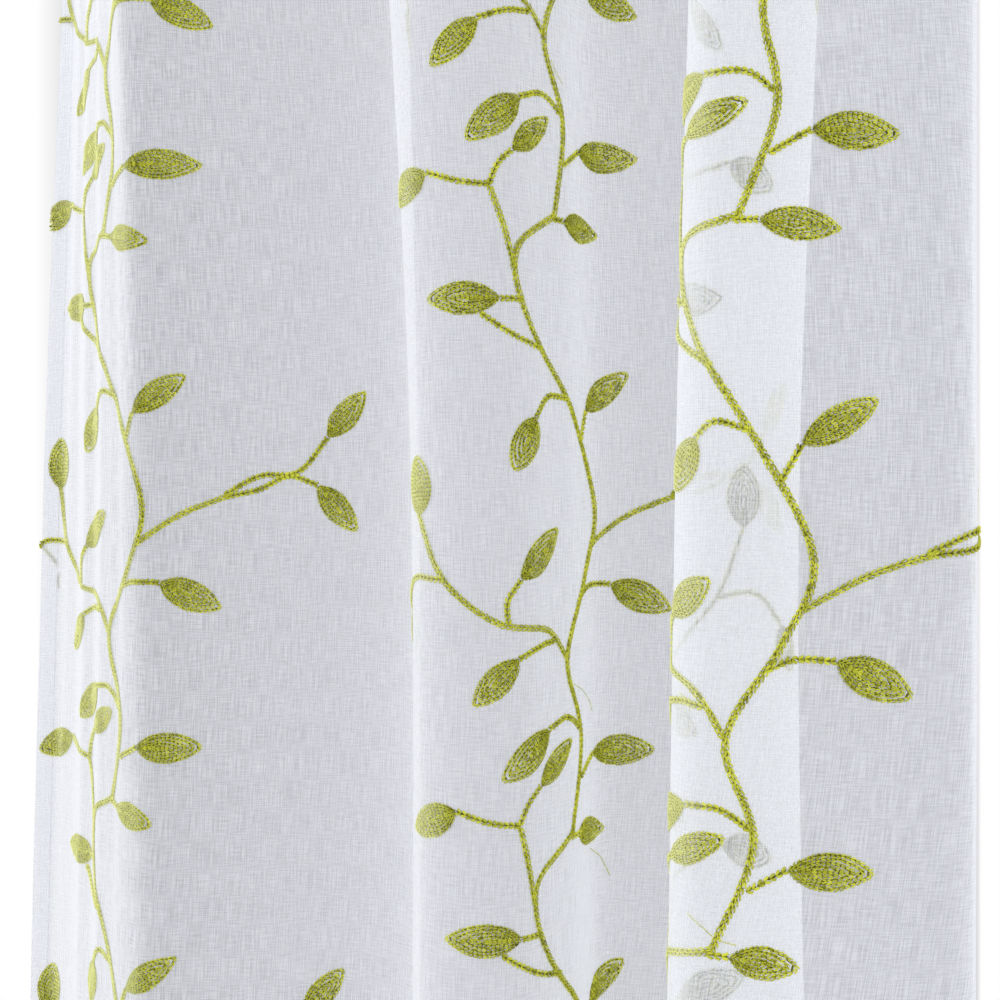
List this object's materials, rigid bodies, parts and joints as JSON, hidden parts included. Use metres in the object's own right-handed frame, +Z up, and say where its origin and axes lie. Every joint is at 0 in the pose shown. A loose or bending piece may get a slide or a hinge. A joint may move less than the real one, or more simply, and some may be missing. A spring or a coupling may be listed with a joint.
{
  "type": "sheer voile curtain",
  "caption": "Sheer linen-look voile curtain panel hanging in uneven vertical folds, chain-stitched all over with a trailing green leaf vine.",
  "frame": {"origin": "on the cloth, at the middle of its top edge", "axes": "+Z up along the drop, +X along the top edge to the right as seen from the room, -Y towards the room"},
  "size_m": [0.526, 0.1445, 0.9],
  "materials": {
    "voile": "sheer plain-weave slub voile, white, matte",
    "embroidery": "leaf-green chain-stitch thread, soft sheen"
  },
  "bodies": {
    "root": {"voile_panel": "voile"}
  },
  "joints": []
}
